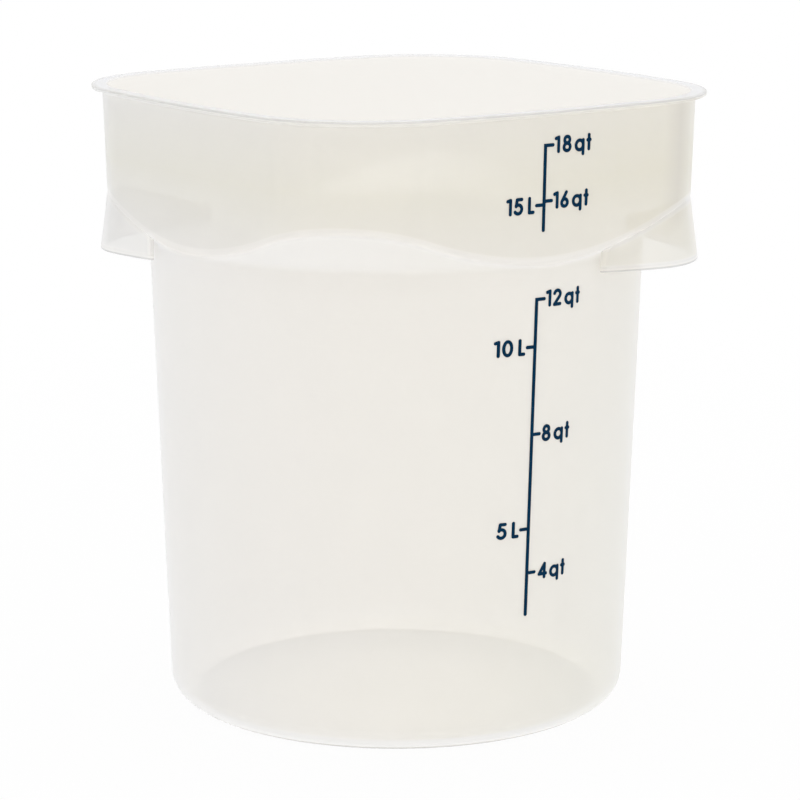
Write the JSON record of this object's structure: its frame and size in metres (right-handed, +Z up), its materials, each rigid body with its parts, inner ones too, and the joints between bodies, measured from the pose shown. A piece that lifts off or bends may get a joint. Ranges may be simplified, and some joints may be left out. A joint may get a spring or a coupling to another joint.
{
  "type": "dough proofing container",
  "caption": "Open translucent plastic tub for proofing dough, a round body under a rounded-square collar with a flat rim, two flared lifting skirts and a printed volume scale.",
  "frame": {"origin": "centre of the foot on the bench, on the tub's axis", "axes": "+Z up along the tub's axis, +X towards one lifting skirt's corner; the scale is printed between -Y and +X"},
  "size_m": [0.3354, 0.3354, 0.3385],
  "materials": {
    "tub_plastic": "translucent milky polypropylene, satin",
    "scale_ink": "printed ink, satin"
  },
  "bodies": {
    "root": {"tub": "tub_plastic", "body_scale_line": "scale_ink", "mark_12_qt": "scale_ink", "mark_10_l": "scale_ink", "mark_8_qt": "scale_ink", "mark_5_l": "scale_ink", "mark_4_qt": "scale_ink", "collar_scale_line": "scale_ink", "mark_18_qt": "scale_ink", "mark_16_qt": "scale_ink", "mark_15_l": "scale_ink"}
  },
  "joints": []
}
